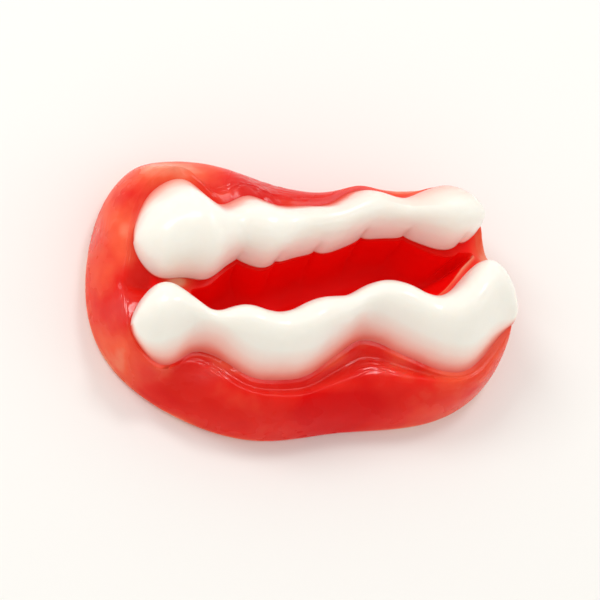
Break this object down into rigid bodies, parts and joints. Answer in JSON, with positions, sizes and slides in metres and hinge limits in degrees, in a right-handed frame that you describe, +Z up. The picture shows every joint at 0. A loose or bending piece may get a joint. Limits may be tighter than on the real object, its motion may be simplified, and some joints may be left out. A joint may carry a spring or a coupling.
{
  "type": "novelty gummy candy",
  "caption": "Gummy sweet in the form of an open mouth: a red jelly body with lips and a recess, and two rows of white foam teeth, lying flat on its back.",
  "frame": {"origin": "on the surface that the sweet lies on, under the middle of its outline", "axes": "+X along the mouth to the right, +Y to the upper lip, +Z up out of the mouth, away from the flat back"},
  "size_m": [0.0388, 0.0264, 0.0121],
  "materials": {
    "red_jelly": "glossy translucent fruit jelly, lightly oiled",
    "white_foam": "smooth satin foam sugar, pink where it thins out over the jelly"
  },
  "bodies": {
    "root": {"jelly": "red_jelly", "upper_teeth": "white_foam", "lower_teeth": "white_foam"}
  },
  "joints": []
}
